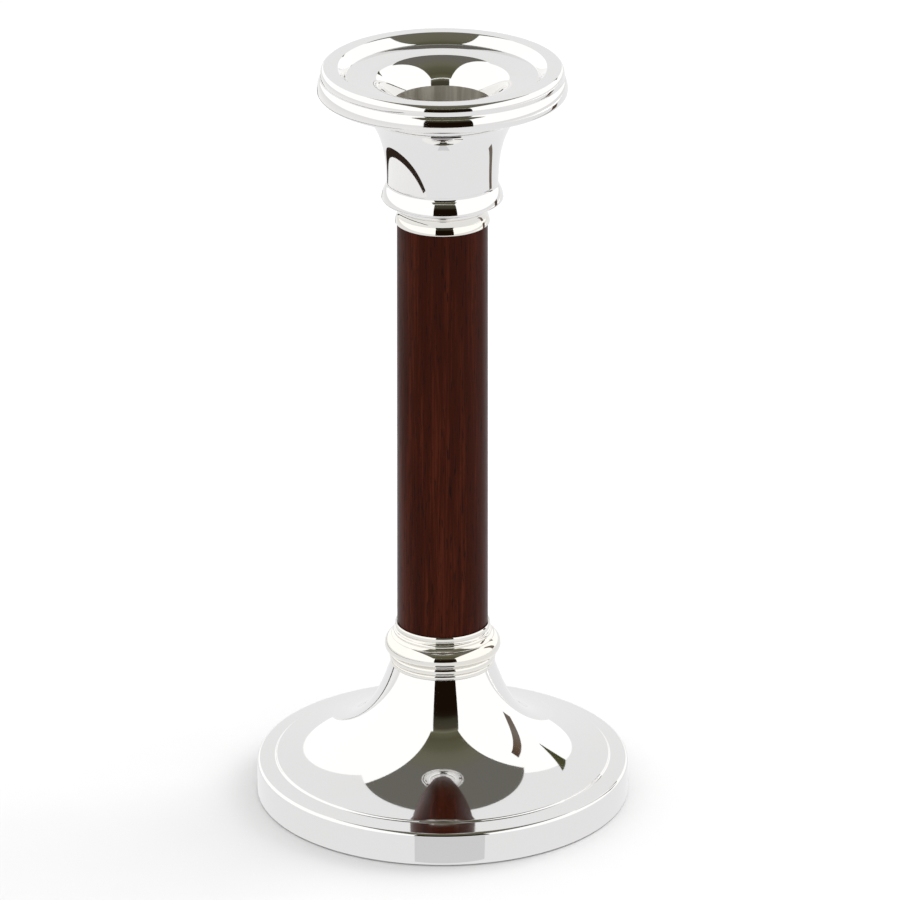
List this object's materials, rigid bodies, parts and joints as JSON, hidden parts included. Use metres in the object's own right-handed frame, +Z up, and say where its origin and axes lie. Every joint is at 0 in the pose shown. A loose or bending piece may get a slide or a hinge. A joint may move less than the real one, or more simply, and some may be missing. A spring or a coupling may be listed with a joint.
{
  "type": "candlestick",
  "caption": "Weighted table candlestick with a round flared foot, a straight wooden column, a flared candle cup and a lift-out drip pan with a candle socket.",
  "frame": {"origin": "centre of the foot on the surface the candlestick stands on", "axes": "+Z up along the column's axis, towards the candle"},
  "size_m": [0.0906, 0.0906, 0.1865],
  "materials": {
    "polished_silver": "mirror-polished silver plate",
    "satin_silver": "unpolished satin plate",
    "dark_wood": "satin varnish over dark reddish-brown hardwood",
    "zinc_steel": "zinc plated",
    "cast_iron": "as cast",
    "brass": "turned",
    "fibre": "vulcanised fibre",
    "felt": "pressed felt"
  },
  "bodies": {
    "stand": {"felt_pad": "felt", "bottom_disc": "zinc_steel", "base_shell": "polished_silver", "ballast_weight": "cast_iron", "base_nut": "zinc_steel", "base_spring_washer": "zinc_steel", "base_washer": "zinc_steel", "tie_rod": "zinc_steel", "lower_collar": "polished_silver", "lower_bush": "brass", "lower_fibre_washer": "fibre", "wood_column": "dark_wood", "upper_bush": "brass", "upper_ferrule": "polished_silver", "upper_knop": "polished_silver", "cup_body": "polished_silver", "cup_washer": "zinc_steel", "cup_nut": "zinc_steel"},
    "nozzle": {"candle_socket": "satin_silver", "drip_pan": "polished_silver"}
  },
  "joints": [
    {"name": "nozzle_lift", "type": "slide", "parent": "stand", "child": "nozzle", "axis": [0, 0, 1], "range_m": [0, 0.03]}
  ]
}
